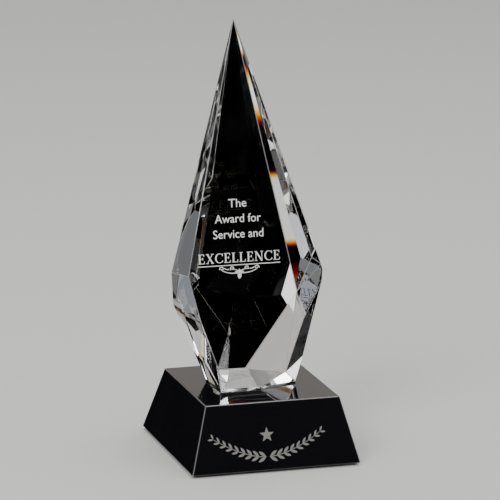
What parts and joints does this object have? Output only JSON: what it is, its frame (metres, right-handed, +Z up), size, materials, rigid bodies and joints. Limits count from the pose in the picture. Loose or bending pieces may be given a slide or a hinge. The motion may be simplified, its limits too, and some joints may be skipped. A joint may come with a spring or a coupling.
{
  "type": "crystal award",
  "caption": "Tall clear crystal spire with asymmetric facets, bonded to a polished black crystal block with sloping sides that stands on small round rubber bumpers",
  "frame": {"origin": "Under the middle of the square block, on the surface that the award stands on", "axes": "+Z up through the block; the spire's wide inscribed facet looks along -Y and +X is to its right"},
  "size_m": [0.1014, 0.1014, 0.254],
  "materials": {
    "clear_crystal": "cut and polished optical crystal",
    "cured_adhesive": "clear cured adhesive",
    "black_crystal": "polished black crystal",
    "soft_rubber": "matte"
  },
  "bodies": {
    "root": {"crystal_spire": "clear_crystal", "bond_film": "cured_adhesive", "base_block": "black_crystal", "bumper_front_left": "soft_rubber", "bumper_front_right": "soft_rubber", "bumper_rear_left": "soft_rubber", "bumper_rear_right": "soft_rubber"}
  },
  "joints": []
}
